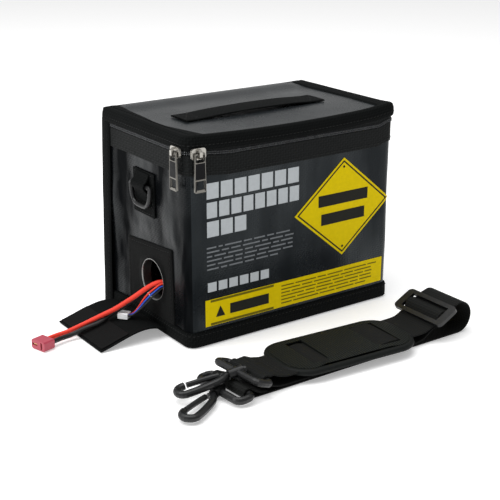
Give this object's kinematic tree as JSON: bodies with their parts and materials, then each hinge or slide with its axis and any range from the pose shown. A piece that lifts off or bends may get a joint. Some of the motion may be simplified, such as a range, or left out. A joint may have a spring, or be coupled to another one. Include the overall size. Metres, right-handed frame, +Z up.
{
  "type": "lipo battery safety bag",
  "caption": "Padded black lipo safety bag with zipped lid, handle, side rings and lead port, a battery pack inside with its leads out, and a detached shoulder strap with swivel hooks.",
  "frame": {"origin": "centre of the bag's underside, on the surface it stands on", "axes": "+X along the front panel to the right, -Y out of the front panel, -X out of the side with the lead port, +Z up"},
  "size_m": [0.3208, 0.2481, 0.1784],
  "materials": {
    "tarp": "coated cloth, semi-gloss",
    "webbing": "woven polyester, matt",
    "padding": "fire-resistant felt and board, matt",
    "lining": "glass-fibre cloth, matt",
    "coil": "nylon zip coil",
    "nickel": "nickel plated, polished",
    "plastic": "moulded acetal, satin",
    "wire_red": "silicone insulation",
    "wire_black": "silicone insulation",
    "wire_blue": "silicone insulation",
    "plug_red": "moulded nylon",
    "plug_white": "moulded nylon",
    "contact": "gold plated",
    "case": "moulded, matt",
    "pouch": "laminated foil",
    "board": "solder mask",
    "foam": "moulded foam with anti-slip ribs"
  },
  "bodies": {
    "bag": {"wrap_panel": "tarp", "back_panel": "tarp", "base_panel": "tarp", "bottom_binding": "webbing", "rear_left_binding": "webbing", "rear_right_binding": "webbing", "front_padding": "padding", "back_padding": "padding", "left_padding": "padding", "right_padding": "padding", "base_padding": "padding", "inner_lining": "lining", "port_patch": "webbing", "port_eyelet": "nickel", "port_washer": "nickel", "lower_zip_tape": "webbing", "lower_zip_coil": "coil", "left_ring_tab": "webbing", "right_ring_tab": "webbing", "power_lead_red": "wire_red", "power_lead_black": "wire_black", "balance_wire_red": "wire_red", "balance_wire_blue": "wire_blue", "balance_wire_black": "wire_black", "power_plug": "plug_red", "plug_contact_flat": "contact", "plug_contact_upright": "contact", "balance_plug": "plug_white"},
    "lid": {"lid_panel": "tarp", "lid_padding": "padding", "lid_lining": "lining", "lid_binding": "webbing", "upper_zip_tape": "webbing", "upper_zip_coil": "coil", "handle_strap": "webbing"},
    "slider_front": {"slider_front": "nickel"},
    "slider_side": {"slider_side": "nickel"},
    "pull_front": {"pull_front": "nickel"},
    "pull_side": {"pull_side": "nickel"},
    "left_ring": {"left_ring": "plastic"},
    "right_ring": {"right_ring": "plastic"},
    "flap": {"port_flap": "webbing", "flap_hook_strip": "webbing"},
    "pack": {"pack_case_lower": "case", "pack_case_upper": "case", "cell_lower": "pouch", "cell_upper": "pouch", "cell_tab_board": "board"},
    "strap": {"strap_webbing": "webbing", "strap_adjuster": "plastic", "upper_frame": "plastic", "lower_frame": "plastic"},
    "pad": {"shoulder_pad": "foam"},
    "upper_hook": {"upper_hook": "plastic"},
    "lower_hook": {"lower_hook": "plastic"},
    "upper_gate": {"upper_gate": "plastic"},
    "lower_gate": {"lower_gate": "plastic"}
  },
  "joints": [
    {"name": "lid_hinge", "type": "hinge", "parent": "bag", "child": "lid", "pos_m": [0, 0.0675, 0.1755], "axis": [-1, 0, 0], "range_deg": [0, 105]},
    {"name": "slider_front_travel", "type": "slide", "parent": "bag", "child": "slider_front", "axis": [1, 0, 0], "range_m": [0, 0.18]},
    {"name": "slider_side_travel", "type": "slide", "parent": "bag", "child": "slider_side", "axis": [0, 1, 0], "range_m": [0, 0.108]},
    {"name": "pull_front_swing", "type": "hinge", "parent": "slider_front", "child": "pull_front", "pos_m": [-0.097, -0.073, 0.16285], "axis": [-1, 0, 0], "range_deg": [0, 150]},
    {"name": "pull_side_swing", "type": "hinge", "parent": "slider_side", "child": "pull_side", "pos_m": [-0.1105, -0.056, 0.16285], "axis": [0, 1, 0], "range_deg": [0, 150]},
    {"name": "left_ring_swing", "type": "hinge", "parent": "bag", "child": "left_ring", "pos_m": [-0.1089, 0, 0.1235], "axis": [0, 1, 0], "range_deg": [0, 150]},
    {"name": "right_ring_swing", "type": "hinge", "parent": "bag", "child": "right_ring", "pos_m": [0.1089, 0, 0.1235], "axis": [0, -1, 0], "range_deg": [0, 150]},
    {"name": "port_flap_fold", "type": "hinge", "parent": "bag", "child": "flap", "pos_m": [-0.1063, 0, 0.005], "axis": [0, 1, 0], "range_deg": [-80, 0]},
    {"name": "pack_lift", "type": "slide", "parent": "bag", "child": "pack", "axis": [0, 0, 1], "range_m": [0, 0.04]},
    {"name": "strap_lift", "type": "slide", "parent": "bag", "child": "strap", "axis": [0, 0, 1], "range_m": [0, 0.08]},
    {"name": "pad_slide", "type": "slide", "parent": "strap", "child": "pad", "axis": [1, 0, 0], "range_m": [-0.005, 0]},
    {"name": "upper_hook_swivel", "type": "hinge", "parent": "strap", "child": "upper_hook", "pos_m": [-0.12148, -0.14686, 0.01385], "axis": [-0.9727, 0.1715, -0.1564], "range_deg": [0, 35]},
    {"name": "upper_gate_swing", "type": "hinge", "parent": "upper_hook", "child": "upper_gate", "pos_m": [-0.12713, -0.14252, 0.01285], "axis": [-0.1541, 0.0272, 0.9877], "range_deg": [0, 14], "stiffness_Nm_per_rad": 0.03, "springref_deg": -20.05},
    {"name": "lower_hook_swivel", "type": "hinge", "parent": "strap", "child": "lower_hook", "pos_m": [-0.13757, -0.1513, 0.00432], "axis": [-0.8746, -0.4848, 0], "range_deg": [-35, 35]},
    {"name": "lower_gate_swing", "type": "hinge", "parent": "lower_hook", "child": "lower_gate", "pos_m": [-0.14477, -0.15152, 0.00432], "axis": [0, 0, 1], "range_deg": [0, 14], "stiffness_Nm_per_rad": 0.03, "springref_deg": -20.05}
  ]
}
